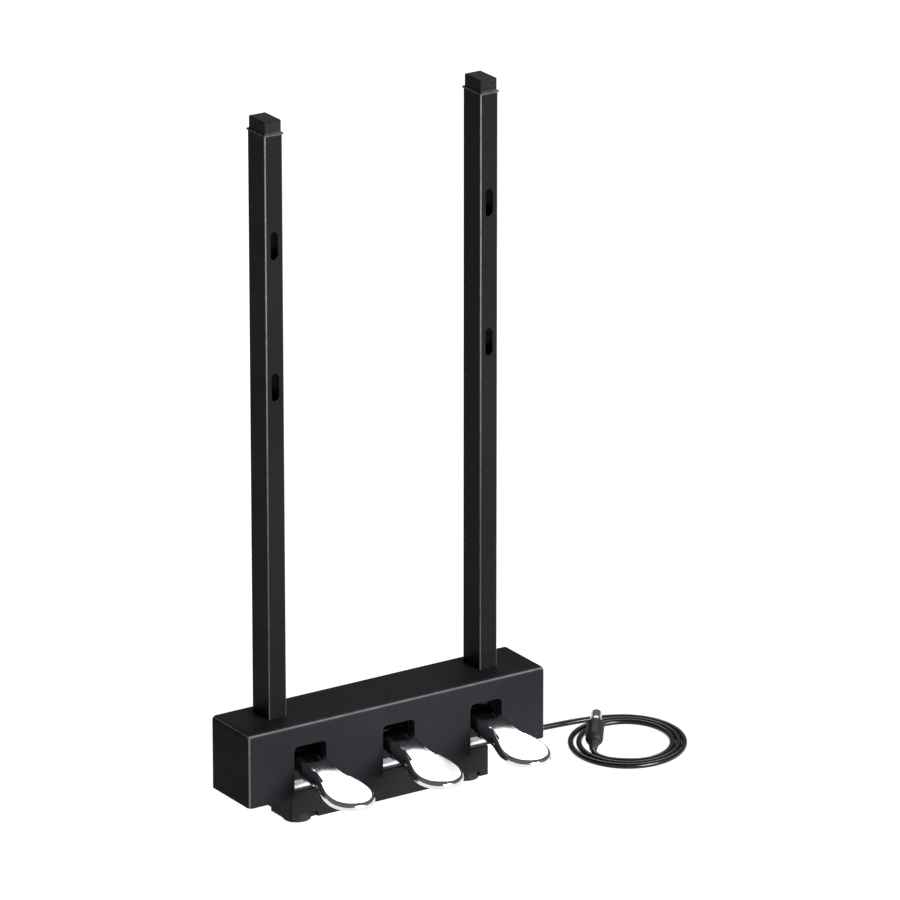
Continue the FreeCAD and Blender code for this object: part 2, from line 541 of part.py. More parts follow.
def sensing():
    """Circuit board hung from the cover, one light-gate sensor per pedal, and its socket."""
    blank = box("board_blank", ("boardWide", "boardDeep", "boardThick"), ("-boardWide / 2", "boardY", "boardZ"))
    holes = [rod(f"board_hole_{i}", "screwRad + screwGap", "boardThick * 3", (x, y, "boardZ - boardThick"))
             for i, (x, y) in enumerate(BOARD_POSTS)]
    keep(cut("board", blank, holes), "sensor_board")
    for sign in (-1, 0, 1):
        name, middle = side_name(sign), f"{sign} * pedalPitch"
        body = box(f"gate_block_{name}", ("sensorWide", "sensorDeep", "sensorTall"),
                   (f"{middle} - sensorWide / 2", "boardY + 2", "boardZ - sensorTall"))
        gap = box(f"gate_gap_{name}", ("sensorSlot", "sensorDeep * 3", "sensorTall * 0.7"),
                  (f"{middle} - sensorSlot / 2", "boardY - sensorDeep", "boardZ - sensorTall"))
        keep(cut(f"gate_{name}", body, [gap]), f"position_sensor_{name}")
        tab_low = "pivotZ + armTall / 2"
        tab = box(f"vane_tab_{name}", ("armWide - 2", "sensorDeep", "vaneThick"),
                  (f"{middle} - armWide / 2 + 1", "boardY + 2", tab_low))
        blade = box(f"vane_blade_{name}", ("vaneThick", "sensorDeep", "vaneTop - pivotZ - armTall / 2"),
                    (f"{middle} - vaneThick / 2", "boardY + 2", tab_low))
        keep(fuse(f"vane_{name}", [tab, blade]), f"sensor_vane_{name}")
    keep(box("socket_block", ("14", "8", "6"), ("36", "boardY + 8", "boardZ - 6")), "board_connector")


# ---------------------------------------------------------------- screws

def screws():
    groups = {
        "cover_screws": [(x, y, "deckZ - plateThick") for x, y in SCREW_POSTS],
        "base_screws": [(x, y, "baseZ + baseTall - 5") for x, y in BASE_POSTS],
        "board_screws": [(x, y, "boardZ") for x, y in BOARD_POSTS],
    }
    long = {"cover_screws": "11", "base_screws": "9", "board_screws": "7"}
    for label, spots in groups.items():
        made = [screw(f"{label}_{i}", spot, long[label]) for i, spot in enumerate(spots)]
        group = doc.addObject("Part::Compound", label + "_group")
        group.Links = made
        keep(group, label)
    made = []
    for sign in (-1, 1):
        for i, (x, y) in enumerate(bracket_feet(sign)):
            made.append(screw(f"bracket_screw_{side_name(sign)}_{i}", (x, y, "deckZ + bracketThick"), "7", up=False))
        for i in range(2):
            x = f"{sign} * (uprightX + tubeWide / 2 + 0.2 + bracketThick)"
            y, z = side_screw(sign, i, "0")[1:]
            head_x = x if sign > 0 else f"{x} - screwRad * 1.3"
            stem_x = f"{x} - 6" if sign > 0 else x
            head = rod(f"side_head_{side_name(sign)}_{i}", "screwRad * 1.9", "screwRad * 1.3", (head_x, y, z), "x")
            stem = rod(f"side_stem_{side_name(sign)}_{i}", "screwRad", "6", (stem_x, y, z), "x")
            made.append(fuse(f"side_screw_{side_name(sign)}_{i}", [head, stem]))
    group = doc.addObject("Part::Compound", "upright_screws_group")
    group.Links = made
    keep(group, "upright_screws")


# ---------------------------------------------------------------- lead and plug

def tube_along(name, points, radius):
    """A round tube along straight runs joined by tangent arcs; prints its length and arc radii."""
    spots = [FreeCAD.Vector(*p) for p in points]
    edges, radii, start = [], [], spots[0]
    for before, corner, after in zip(spots, spots[1:], spots[2:]):
        into, out = corner - before, after - corner
        half_turn = into.getAngle(out) / 2
        setback = 0.45 * min(into.Length, out.Length)
        radii.append(setback / math.tan(half_turn))
        into.normalize()
        out.normalize()
        a, b = corner - into * setback, corner + out * setback
        inward = (out - into).normalize()
        crown = corner + inward * (radii[-1] * (1 / math.cos(half_turn) - 1))
        edges += [Part.LineSegment(start, a).toShape(), Part.Arc(a, crown, b).toShape()]
        start = b
    edges.append(Part.LineSegment(start, spots[-1]).toShape())
    path = Part.Wire(edges)
    ring = Part.Wire(Part.makeCircle(radius, spots[0], spots[1] - spots[0]))
    obj = doc.addObject("Part::Feature", name)
    obj.Shape = path.makePipeShell([ring], True, False)
    ratio = obj.Shape.Volume / (math.pi * radius ** 2 * path.Length)
    print(name, "length", round(path.Length, 1), "volume ratio", round(ratio, 4),
          "radii", [round(r, 1) for r in radii])
    return obj


def inner_lead():
    """Lead inside the box: from the strain relief, up through the plate, to the board's socket."""
    x, y, z = size("exitX"), size("front") + 37.0, size("exitZ")
    route = [(x, y + 13.9, z), (x, y + 6, z), (x + 1, y, z + 7), (x + 3, y - 0.5, z + 20),
             (x + 9, y, z + 34), (x + 15, y + 0.5, z + 47), (x + 15, y + 0.5, size("boardZ") - 6)]
    keep(tube_along("inner_lead_shape", route, size("innerLeadRad")), "inner_lead")


def strain_relief():
    """Rubber relief held in the back wall of the base, tapering outside it."""
    wall, hole = "baseWall", "cordHole - 0.1"
    profile = [("0", "-5"), ("4.6", "-5"), ("4.6", f"-{wall}"), (hole, f"-{wall}"), (hole, "0"), ("4.8", "0"),
               ("4.8", "1.5"), ("3.7", "1.5"), ("cordRad + 0.7", "reliefLong"), ("0", "reliefLong")]
    backwards = FreeCAD.Rotation(FreeCAD.Vector(1, 0, 0), -90)
    keep(turned("relief_body", profile, ("exitX", "exitY", "exitZ"), backwards), "cord_relief")


def lead():
    """Stretch of the lead behind the box, down to the floor and along to the coil."""
    front, low = size("front"), size("cordRad")
    route = [(28, 73.9, 15), (28, 86, 15), (30.5, 98, 11.2), (38, 107.5, 5.6), (50.5, 113.6, low),
             (66.5, 114.2, low), (86, 111.5, low), (110, 104, low), (136, 94, low), (160, 84.5, low), (183, 78.5, low),
             (208, 76.6, low), (232, 73.8, low), (253.75, 67.6, low)]
    keep(tube_along("lead_shape", [(x, y + front, z) for x, y, z in route], low), "cord_lead")


def coil():
    """Outer shape of the loose flat coil: an oval ring one lead thick."""
    rings = []
    for name, wide, deep in (("outer", "coilHalfWide", "coilHalfDeep"), ("room", "coilRoomWide", "coilRoomDeep")):
        oval = Part.Ellipse(FreeCAD.Vector(0, 0, 0), size(deep), size(wide))
        face = Part.Face(Part.Wire(oval.toShape()))
        face.rotate(FreeCAD.Vector(0, 0, 0), FreeCAD.Vector(0, 0, 1), 90)
        rings.append(face.extrude(FreeCAD.Vector(0, 0, 2 * size("cordRad"))))
    obj = doc.addObject("Part::Feature", "coil_shape")
    obj.Shape = rings[0].cut(rings[1])
    obj.Placement.Rotation = FreeCAD.Rotation(FreeCAD.Vector(0, 0, 1), size("coilTurn"))
    keep(at(obj, ("coilX", "coilY", "0")), "cord_coil")


def along_plug(reach):
    """Point on the plug's axis and the rotation that turns +Z onto it."""
    spin = FreeCAD.Rotation(FreeCAD.Vector(0, 0, 1), size("coilTurn"))
    tilt = math.radians(size("plugTilt"))
    swing = math.radians(size("plugSwing"))
    flat = math.cos(tilt)
    way = spin.multVec(FreeCAD.Vector(flat * math.sin(swing), flat * math.cos(swing), math.sin(tilt)))
    tail = spin.multVec(FreeCAD.Vector(size("plugU"), size("plugV"), 0))
    tail += FreeCAD.Vector(size("coilX"), size("coilY"), size("plugZ"))
    return tail + way * reach, FreeCAD.Rotation(FreeCAD.Vector(0, 0, 1), way)


def plug():
    """Round plug at the lead's end: tapered boot, grip, metal shell, and insert with pins."""
    boot, body, collar = size("bootLong"), size("bodyLong"), size("collarLong")

    def part(name, label, profile, start):
        spot, turn = along_plug(start)
        return keep(turned(name, profile, spot, turn), label)

    ribs = [("0", "0"), ("cordRad + 0.5", "0")]
    for i in range(3):
        ribs += [(f"3.0 + {i} * 0.45", f"{1.2 + 3 * i}"), (f"3.2 + {i} * 0.45", f"{2.8 + 3 * i}"),
                 (f"2.8 + {i} * 0.45", f"{3.0 + 3 * i}")]
    part("boot_body", "plug_boot", ribs + [("4.2", "bootLong"), ("0", "bootLong")], 0)
    grip = [("0", "0"), ("4.6", "0"), ("bodyRad - 0.6", "4"), ("bodyRad", "6"), ("bodyRad", "bodyLong - 1"),
            ("bodyRad - 1", "bodyLong"), ("0", "bodyLong")]
    part("grip_body", "plug_body", grip, boot)
    tip = "collarLong + shellLong"
    shell = [("0", "0"), ("collarRad", "0"), ("collarRad", "collarLong - 0.5"), ("collarRad - 0.4", "collarLong"),
             ("shellRad", "collarLong"), ("shellRad", tip), ("shellRad - shellWall", tip),
             ("shellRad - shellWall", "collarLong"), ("0", "collarLong")]
    part("shell_body", "plug_shell", shell, boot + body)
    insert = [("0", "0"), ("shellRad - shellWall - 0.05", "0"), ("shellRad - shellWall - 0.05", "3"), ("0", "3")]
    part("insert_body", "plug_insert", insert, boot + body + collar)
    spot, turn = along_plug(boot + body + collar + 3)
    pins = []
    for i in range(8):
        angle = math.radians(45 * i + 22.5)
        place = FreeCAD.Vector(2.6 * math.cos(angle), 2.6 * math.sin(angle), 0)
        pins.append(Part.makeCylinder(size("pinRad"), size("shellLong") - 4, place))
    obj = doc.addObject("Part::Feature", "pin_shape")
    obj.Shape = Part.makeCompound(pins)
    obj.Placement = FreeCAD.Placement(spot, turn)
    keep(obj, "plug_pins")


# ---------------------------------------------------------------- assembly

def build():
    top_cover()
    bottom_base()
    feet()
    pedal_chassis()
    for sign in (-1, 1):
        upright(sign)
        cap(sign)
        bracket(sign)
    for sign in (-1, 0, 1):
        pedal(sign)
        pivot(sign)
        spring(sign)
        felts(sign)
    sensing()
    inner_lead()
    screws()
    strain_relief()
    lead()
    coil()
    plug()
    doc.recompute()


def write():
    """Stop on any failed object or bad shape, then write one file per sub-part."""
    bad = [o.Label for o in doc.Objects if {"Invalid", "Error"} & set(o.State)]
    bad += [o.Label for o in NODES if o.Shape.isNull() or not o.Shape.isValid() or o.Shape.Volume <= 0]
    if bad:
        raise RuntimeError("failed: " + ", ".join(bad))
    os.makedirs("parts", exist_ok=True)
    for obj in NODES:
        obj.Shape.exportStep(f"parts/{obj.Label}.step")
    print(len(NODES), "nodes written")


build()
write()
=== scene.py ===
import bmesh
import bpy
import json
import math
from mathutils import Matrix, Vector, noise


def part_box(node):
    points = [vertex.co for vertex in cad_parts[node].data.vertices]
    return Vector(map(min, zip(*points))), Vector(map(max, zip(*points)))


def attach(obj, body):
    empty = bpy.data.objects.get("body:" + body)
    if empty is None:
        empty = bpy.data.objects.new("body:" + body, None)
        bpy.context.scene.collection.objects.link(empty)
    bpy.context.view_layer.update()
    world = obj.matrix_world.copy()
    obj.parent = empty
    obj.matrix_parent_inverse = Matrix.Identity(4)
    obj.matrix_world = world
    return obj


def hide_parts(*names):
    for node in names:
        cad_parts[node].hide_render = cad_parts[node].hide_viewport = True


# Three-pedal unit with two steel uprights and a coiled lead. Metres, in the CAD model's frame.

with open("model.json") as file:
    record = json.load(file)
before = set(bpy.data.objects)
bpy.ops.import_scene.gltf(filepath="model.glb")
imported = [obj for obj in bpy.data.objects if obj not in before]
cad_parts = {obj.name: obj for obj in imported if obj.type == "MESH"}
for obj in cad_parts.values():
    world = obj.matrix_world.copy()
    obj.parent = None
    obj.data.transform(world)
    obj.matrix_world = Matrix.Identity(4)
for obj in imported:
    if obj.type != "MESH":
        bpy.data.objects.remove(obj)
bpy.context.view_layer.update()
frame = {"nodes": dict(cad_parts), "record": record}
MM = 0.001
SIDES = ("left", "middle", "right")
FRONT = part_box("top_cover")[0][1]

# ---------------------------------------------------------------- mesh helpers


def new_piece(name, bm, body, slot, smooth=True):
    """Turn a bmesh into a piece that rides on a body and takes the finish of a slot."""
    bmesh.ops.recalc_face_normals(bm, faces=bm.faces)
    mesh = bpy.data.meshes.new(name)
    bm.to_mesh(mesh)
    bm.free()
    if smooth:
        mesh.shade_smooth()
    obj = bpy.data.objects.new(name, mesh)
    bpy.context.collection.objects.link(obj)
    mesh.materials.append(FINISHES[slot])
    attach(obj, body)
    return obj


def ring_faces(bm, lower, upper):
    """Quads between two closed loops with the same number of points."""
    count = len(lower)
    for i in range(count):
        after = (i + 1) % count
        bm.faces.new((lower[i], lower[after], upper[after], upper[i]))


def lathe(bm, profile, place, turn, steps, flute=None, closed=False):
    """Revolve (radius, height) points about an axis; flute(angle, height) scales a radius.

    An open profile gets a cap at each end, and a closed one runs back to its first point.
    """
    rings = []
    for radius, height in profile:
        ring = []
        for k in range(steps):
            angle = 2 * math.pi * k / steps
            r = radius * (flute(angle, height) if flute else 1.0)
            spot = Vector((r * math.cos(angle), r * math.sin(angle), height))
            ring.append(bm.verts.new(place + turn @ spot))
        rings.append(ring)
    if closed:
        rings.append(rings[0])
    for low, high in zip(rings, rings[1:]):
        ring_faces(bm, low, high)
    if not closed:
        bm.faces.new(rings[0][::-1])
        bm.faces.new(rings[-1])


def arc_points(cx, cy, radius, start, end, steps):
    """Points of an arc, angles in degrees."""
    spots = []
    for k in range(steps + 1):
        angle = math.radians(start + (end - start) * k / steps)
        spots.append((cx + radius * math.cos(angle), cy + radius * math.sin(angle)))
    return spots


# ---------------------------------------------------------------- materials


class Surface:
    """One procedural finish, built on a Principled shader."""

    def __init__(self, name, colour, rough, metal=0.0, **sockets):
        self.mat = bpy.data.materials.new(name)
        self.mat.use_nodes = True
        self.tree = self.mat.node_tree
        self.shader = self.tree.nodes["Principled BSDF"]
        self.shader.inputs["Metallic"].default_value = metal
        self.shader.inputs["Roughness"].default_value = rough
        self.shader.inputs["Base Color"].default_value = (*colour, 1)
        for key, value in sockets.items():
            self.shader.inputs[key.replace("_", " ")].default_value = value
        self.colour = tuple(colour)
        self.rough = rough
        self.place = self.node("ShaderNodeTexCoord").outputs["Object"]
        self.normal = None
        self.tint = None
        self.gloss = None

    def node(self, kind, **props):
        """A new node with its settings."""
        made = self.tree.nodes.new(kind)
        for key, value in props.items():
            setattr(made, key, value)
        return made

    def link(self, source, target):
        """Join an output to an input."""
        self.tree.links.new(source, target)

    def noise(self, size, detail=3.0, rough=0.5, stretch=None):
        """Noise whose lumps are about size metres across."""
        made = self.node("ShaderNodeTexNoise")
        made.inputs["Scale"].default_value = 0.5 / size
        made.inputs["Detail"].default_value = detail
        made.inputs["Roughness"].default_value = rough
        source = self.place
        if stretch:
            mapping = self.node("ShaderNodeMapping")
            mapping.inputs["Scale"].default_value = stretch
            self.link(self.place, mapping.inputs["Vector"])
            source = mapping.outputs["Vector"]
        self.link(source, made.inputs["Vector"])
        return made.outputs["Fac"]

    def spread(self, source, low, high, start=0.35, end=0.65):
        """Map a mask from start..end to low..high."""
        made = self.node("ShaderNodeMapRange")
        made.inputs["From Min"].default_value = start
        made.inputs["From Max"].default_value = end
        made.inputs["To Min"].default_value = low
        made.inputs["To Max"].default_value = high
        self.link(source, made.inputs["Value"])
        return made.outputs["Result"]

    def blend(self, mask, low, high):
        """Mix two colours or colour outputs by a mask; 6, 7 and 2 are the node's colour sockets."""
        made = self.node("ShaderNodeMix", data_type="RGBA")
        self.link(mask, made.inputs["Factor"])
        for index, value in ((6, low), (7, high)):
            if isinstance(value, tuple):
                made.inputs[index].default_value = (*value, 1)
            else:
                self.link(value, made.inputs[index])
        return made.outputs[2]

    def along(self, axis, start, end):
        """Mask that runs from 0 to 1 between two places on an axis of the model."""
        split = self.node("ShaderNodeSeparateXYZ")
        self.link(self.place, split.inputs["Vector"])
        return self.spread(split.outputs[axis], 0.0, 1.0, start, end)

    def facing_up(self, start, end):
        """Mask of the faces that look upwards."""
        split = self.node("ShaderNodeSeparateXYZ")
        self.link(self.place.node.outputs["Normal"], split.inputs["Vector"])
        return self.spread(split.outputs["Z"], 0.0, 1.0, start, end)

    def math(self, operation, first, second):
        """Arithmetic on two outputs or numbers."""
        made = self.node("ShaderNodeMath", operation=operation)
        for index, value in enumerate((first, second)):
            if isinstance(value, (int, float)):
                made.inputs[index].default_value = value
            else:
                self.link(value, made.inputs[index])
        return made.outputs["Value"]

    def drift(self, size, amount, gloss=0.05):
        """Slow changes of tone and gloss, as from moulding and handling."""
        mask = self.noise(size, 4.0)
        low = tuple(c * (1 - amount) for c in self.colour)
        high = tuple(min(1.0, c * (1 + amount)) for c in self.colour)
        self.tint = self.blend(self.spread(mask, 0, 1), low, high)
        self.gloss = self.spread(self.noise(size * 0.4, 5.0, 0.6), self.rough - gloss, self.rough + gloss)
        return self

    def bump(self, mask, depth):
        """Add relief of a depth in metres."""
        made = self.node("ShaderNodeBump")
        made.inputs["Strength"].default_value = 1.0
        made.inputs["Distance"].default_value = depth
        self.link(mask, made.inputs["Height"])
        if self.normal:
            self.link(self.normal, made.inputs["Normal"])
        self.normal = made.outputs["Normal"]
        return self

    def grain(self, size, depth, detail=2.0):
        """Even relief, as of moulded or painted skin."""
        return self.bump(self.noise(size, detail), depth)

    def brushed(self, size, depth, lengthways):
        """Fine parallel scratches along one axis."""
        stretch = tuple(0.04 if axis == lengthways else 1.0 for axis in "xyz")
        return self.bump(self.noise(size, 2.0, 0.6, stretch), depth)

    def edges(self, radius, colour, start=0.02, end=0.3):
        """Lighter edges, found from a rounded normal: a painted highlight, partly wear."""
        bevel = self.node("ShaderNodeBevel", samples=6)
        bevel.inputs["Radius"].default_value = radius
        geometry = self.node("ShaderNodeNewGeometry")
        dot = self.node("ShaderNodeVectorMath", operation="DOT_PRODUCT")
        self.link(bevel.outputs["Normal"], dot.inputs[0])
        self.link(geometry.outputs["Normal"], dot.inputs[1])
        turned = self.math("SUBTRACT", 1.0, dot.outputs["Value"])
        mask = self.spread(turned, 0.0, 1.0, start, end)
        uneven = self.math("MULTIPLY", mask, self.spread(self.noise(0.006, 4.0), 0.55, 1.0))
        # The lighter edge colour is a painted highlight, partly wear.
        self.tint = self.blend(uneven, self.tint or self.colour, colour)
        return self

    def corners(self, colour, start, end, highlight_fade=None):
        """Painted highlight on the rounded corners of a square-cut part, where the surface faces along no
        axis; highlight_fade scales it.
        """
        split = self.node("ShaderNodeSeparateXYZ")
        upright = self.node("ShaderNodeVectorMath", operation="ABSOLUTE")
        self.link(self.place.node.outputs["Normal"], upright.inputs[0])
        self.link(upright.outputs["Vector"], split.inputs["Vector"])
        most = split.outputs["X"]
        for axis in ("Y", "Z"):
            most = self.math("MAXIMUM", most, split.outputs[axis])
        mask = self.spread(most, 1.0, 0.0, 1 - end, 1 - start)
        uneven = self.math("MULTIPLY", mask, self.spread(self.noise(0.004, 4.0), 0.7, 1.0))
        if highlight_fade:
            uneven = self.math("MULTIPLY", uneven, highlight_fade)
        # The highlight is painted into the base colour, uneven along the corner.
        self.tint = self.blend(uneven, self.tint or self.colour, colour)
        return self

    def done(self):
        """Join what has been built to the shader and give the material."""
        if self.tint:
            self.link(self.tint, self.shader.inputs["Base Color"])
        if self.gloss:
            self.link(self.gloss, self.shader.inputs["Roughness"])
        if self.normal:
            self.link(self.normal, self.shader.inputs["Normal"])
        return self.mat


def make_finishes():
    """The finish of every material slot in the record."""
    f = {}
    # The cover's pale corners are a painted highlight along its rounded edges.
    f["cover_plastic"] = (Surface("cover_plastic", (0.0095, 0.0092, 0.0108), 0.5, Specular_IOR_Level=0.012)
                          .drift(0.05, 0.16, 0.04).grain(0.0005, 0.00006, 1.5)
                          .corners((0.09, 0.09, 0.095), 0.1, 0.27).done())
    # The base's lighter edges are a painted highlight, partly wear.
    f["base_plastic"] = (Surface("base_plastic", (0.006, 0.006, 0.0065), 0.5, Specular_IOR_Level=0.05)
                         .drift(0.03, 0.2, 0.05).grain(0.0005, 0.00007)
                         .edges(0.001, (0.022, 0.022, 0.024)).done())
    f["foot_rubber"] = (Surface("foot_rubber", (0.009, 0.009, 0.009), 0.72, Specular_IOR_Level=0.12)
                        .drift(0.008, 0.25, 0.06).grain(0.0009, 0.0001).done())
    f["painted_steel"] = tube_finish()
    f["cap_plastic"] = cap_finish()
    # The steel's lighter edges are a painted highlight, partly wear.
    f["coated_steel"] = (Surface("coated_steel", (0.014, 0.014, 0.015), 0.5, Specular_IOR_Level=0.2)
                         .drift(0.012, 0.2, 0.06).grain(0.0007, 0.00004)
                         .edges(0.0006, (0.05, 0.05, 0.052)).done())
    f["pedal_chrome"] = pedal_finish()
    f["shaft_steel"] = (Surface("shaft_steel", (0.58, 0.58, 0.58), 0.25, 1.0)
                        .drift(0.004, 0.08, 0.06).brushed(0.0004, 0.00001, "y").done())
    f["bush_nylon"] = (Surface("bush_nylon", (0.78, 0.76, 0.7), 0.42, Subsurface_Weight=0.2)
                       .drift(0.004, 0.06, 0.05).grain(0.0006, 0.00003).done())
    f["spring_steel"] = (Surface("spring_steel", (0.42, 0.42, 0.43), 0.3, 1.0)
                         .drift(0.003, 0.15, 0.08).grain(0.0004, 0.00002).done())
    felt = Surface("felt", (0.5, 0.515, 0.55), 0.95, Sheen_Weight=0.5, Sheen_Roughness=0.6)
    f["felt"] = (felt.drift(0.0016, 0.12, 0.03)
                 .bump(felt.noise(0.0004, 6.0, 0.7, (1, 0.35, 1)), 0.00035)
                 .bump(felt.noise(0.0003, 6.0, 0.7, (0.35, 1, 1)), 0.00025).done())
    f["board_laminate"] = board_finish()
    f["sensor_plastic"] = (Surface("sensor_plastic", (0.012, 0.012, 0.013), 0.45)
                           .drift(0.004, 0.2, 0.05).grain(0.0004, 0.00004).done())
    f["lead_pvc"] = (Surface("lead_pvc", (0.004, 0.004, 0.0045), 0.24, Specular_IOR_Level=0.25)
                     .drift(0.02, 0.25, 0.05).grain(0.0012, 0.00004).grain(0.0003, 0.00001).done())
    # The screws' paler edges are a painted highlight, partly wear.
    f["screw_steel"] = (Surface("screw_steel", (0.26, 0.26, 0.28), 0.34, 1.0)
                        .drift(0.003, 0.15, 0.08).grain(0.0005, 0.00002)
                        .edges(0.0003, (0.5, 0.5, 0.52)).done())
    # The plug's lighter edges are a painted highlight, partly wear.
    f["plug_plastic"] = (Surface("plug_plastic", (0.0105, 0.0105, 0.0125), 0.5, Specular_IOR_Level=0.1)
                         .drift(0.008, 0.2, 0.05).grain(0.00035, 0.00004)
                         .edges(0.0005, (0.035, 0.035, 0.038)).done())
    f["plug_nickel"] = (Surface("plug_nickel", (0.72, 0.71, 0.67), 0.2, 1.0)
                        .drift(0.003, 0.06, 0.05).grain(0.0015, 0.00001).done())
    f["pin_gold"] = (Surface("pin_gold", (0.86, 0.66, 0.32), 0.2, 1.0)
                     .drift(0.001, 0.08, 0.05).grain(0.0005, 0.00001).done())
    return f


def tube_finish():
    """Satin black paint, with a painted highlight along the corners of the tube, strongest near its top.
    """
    s = Surface("painted_steel", (0.0053, 0.0054, 0.0059), 0.42, Specular_IOR_Level=0.02)
    s.drift(0.07, 0.18, 0.04).grain(0.0011, 0.00004, 1.0).grain(0.00035, 0.00002)
    # Painted highlight on the corners: full strength high up the tube, at least 0.35 of it lower down.
    highlight_toward_top = s.math("MAXIMUM", s.along("Z", 0.08, 0.46), 0.35)
    return s.corners((0.13, 0.13, 0.135), 0.004, 0.06, highlight_toward_top).done()


def cap_finish():
    """Coarse black moulding with a painted highlight along its thin flange."""
    s = Surface("cap_plastic", (0.0072, 0.0072, 0.0075), 0.55, Specular_IOR_Level=0.03)
    s.drift(0.0016, 0.35, 0.06).grain(0.0007, 0.00018)
    # Painted highlight on the flange, at the cap's lowest part, uneven along it.
    painted_flange_highlight = s.math("MULTIPLY", s.along("Z", 0.5956, 0.595), s.spread(s.noise(0.003, 4.0), 0.5, 1.0))
    s.tint = s.blend(painted_flange_highlight, s.tint, (0.05, 0.05, 0.052))
    return s.done()


def pedal_finish():
    """Bright plating, worn dull on the tread, with painted shade on the arm inside the mouth."""
    s = Surface("pedal_chrome", (0.66, 0.67, 0.69), 0.13, 1.0)
    s.drift(0.02, 0.02, 0.02).grain(0.012, 0.00003, 1.0)
    tread = s.math("MULTIPLY", s.along("Y", FRONT - 0.022, FRONT - 0.04), s.facing_up(0.93, 0.97))
    s.gloss = s.math("ADD", s.gloss, s.math("MULTIPLY", tread, 0.2))
    # Painted shade: the plating turns nearly black just behind the front face of the cover, inside the
    # mouth.
    s.tint = s.blend(s.along("Y", FRONT + 0.002, FRONT + 0.006), s.tint, (0.02, 0.02, 0.021))
    return s.done()


def board_finish():
    """Green solder mask with paler copper areas showing through it."""
    s = Surface("board_laminate", (0.008, 0.022, 0.013), 0.4, Coat_Weight=0.15, Coat_Roughness=0.25)
    cells = s.node("ShaderNodeTexVoronoi", distance="MANHATTAN")
    cells.inputs["Scale"].default_value = 160
    s.link(s.place, cells.inputs["Vector"])
    copper = s.spread(cells.outputs["Distance"], 0.0, 1.0, 0.42, 0.5)
    s.drift(0.01, 0.15, 0.05)
    s.tint = s.blend(copper, s.tint, (0.014, 0.04, 0.023))
    return s.bump(copper, 0.00004).grain(0.0008, 0.00001).done()


FINISHES = make_finishes()


def paint_cad_nodes():
    """Give every carried-over CAD node the finish of its slot in the record."""
    for part in frame["record"]["subparts"]:
        obj = frame["nodes"][part["node"]]
        for slot in obj.material_slots:
            slot.material = FINISHES[part["material_slot"]]


# ---------------------------------------------------------------- camera, floor and light

CAMERA = Vector((-3.4031, FRONT - 5.2946, 2.5823))
CAMERA_PITCH = 19.823
CAMERA_YAW = 33.114
LENS = 329.37
SENSOR_WIDE = 36
VIEW_END = 60
FLOOR_HALF = 14
FLOOR_GLOW = 0.97
ROOM_GLOW = 0.15


def make_camera():
    """A long lens that looks down on the unit from its left front."""
    data = bpy.data.cameras.new("camera")
    data.lens = LENS
    data.sensor_width = SENSOR_WIDE
    data.clip_end = VIEW_END
    obj = bpy.data.objects.new("camera", data)
    obj.location = CAMERA
    obj.rotation_euler = (math.radians(90 - CAMERA_PITCH), 0, math.radians(-CAMERA_YAW))
    bpy.context.collection.objects.link(obj)
    bpy.context.scene.camera = obj


def area_light(name, azimuth, elevation, distance, width, height, power):
    """A softbox that faces the origin, seen from there at an azimuth from +Y towards +X."""
    data = bpy.data.lights.new(name, "AREA")
    data.shape = "RECTANGLE"
    data.size = width
    data.size_y = height
    data.energy = power
    obj = bpy.data.objects.new(name, data)
    a, e = math.radians(azimuth), math.radians(elevation)
    way = Vector((math.sin(a) * math.cos(e), math.cos(a) * math.cos(e), math.sin(e)))
    obj.location = way * distance
    obj.rotation_euler = way.to_track_quat("Z", "Y").to_euler()
    bpy.context.collection.objects.link(obj)


def make_stage():
    """A pale lit floor, a dim room and large softboxes."""
    bm = bmesh.new()
    bmesh.ops.create_grid(bm, x_segments=8, y_segments=8, size=FLOOR_HALF)
    mesh = bpy.data.meshes.new("floor")
    bm.to_mesh(mesh)
    bm.free()
    floor = bpy.data.objects.new("floor", mesh)
    bpy.context.collection.objects.link(floor)
    surface = Surface("floor", (0.2, 0.2, 0.2), 0.9, Specular_IOR_Level=0.05)
    surface.shader.inputs["Emission Color"].default_value = (1, 1, 1, 1)
    surface.shader.inputs["Emission Strength"].default_value = FLOOR_GLOW
    mesh.materials.append(surface.drift(0.5, 0.004, 0.02).done())
    world = bpy.data.worlds.new("room")
    world.use_nodes = True
    background = world.node_tree.nodes["Background"]
    background.inputs["Color"].default_value = (0.95, 0.97, 1, 1)
    background.inputs["Strength"].default_value = ROOM_GLOW
    bpy.context.scene.world = world
    bpy.context.scene.view_settings.view_transform = "Standard"
    area_light("softbox_back", 41, 47, 3.2, 2.3, 1.5, 55)
    area_light("softbox_front", 165, 17, 3.4, 1.8, 1.2, 390)


# ---------------------------------------------------------------- pedals

# Millimetres, from the front face of the cover
NECK_HALF = 11.8
PADDLE_HALF = 21.0
FLARE = 19.5
BROAD = 59.5
NECK_PULL = 13.0
PADDLE_PULL = 16.0
REACH = 80.0
NECK_TOP = 65.3
NECK_BACK = 12.0
SLOPE = math.tan(math.radians(11.0))
EDGE_ROUND = 3.4
SKIN = 1.7
LIP = 0.6
CROWN = 0.9
DEPTHS = [(14, 13.0), (-20, 12.6), (-42, 8.2), (-58, 6.4), (-82, 5.4)]
TIP_HALF_ANGLE = 42.0


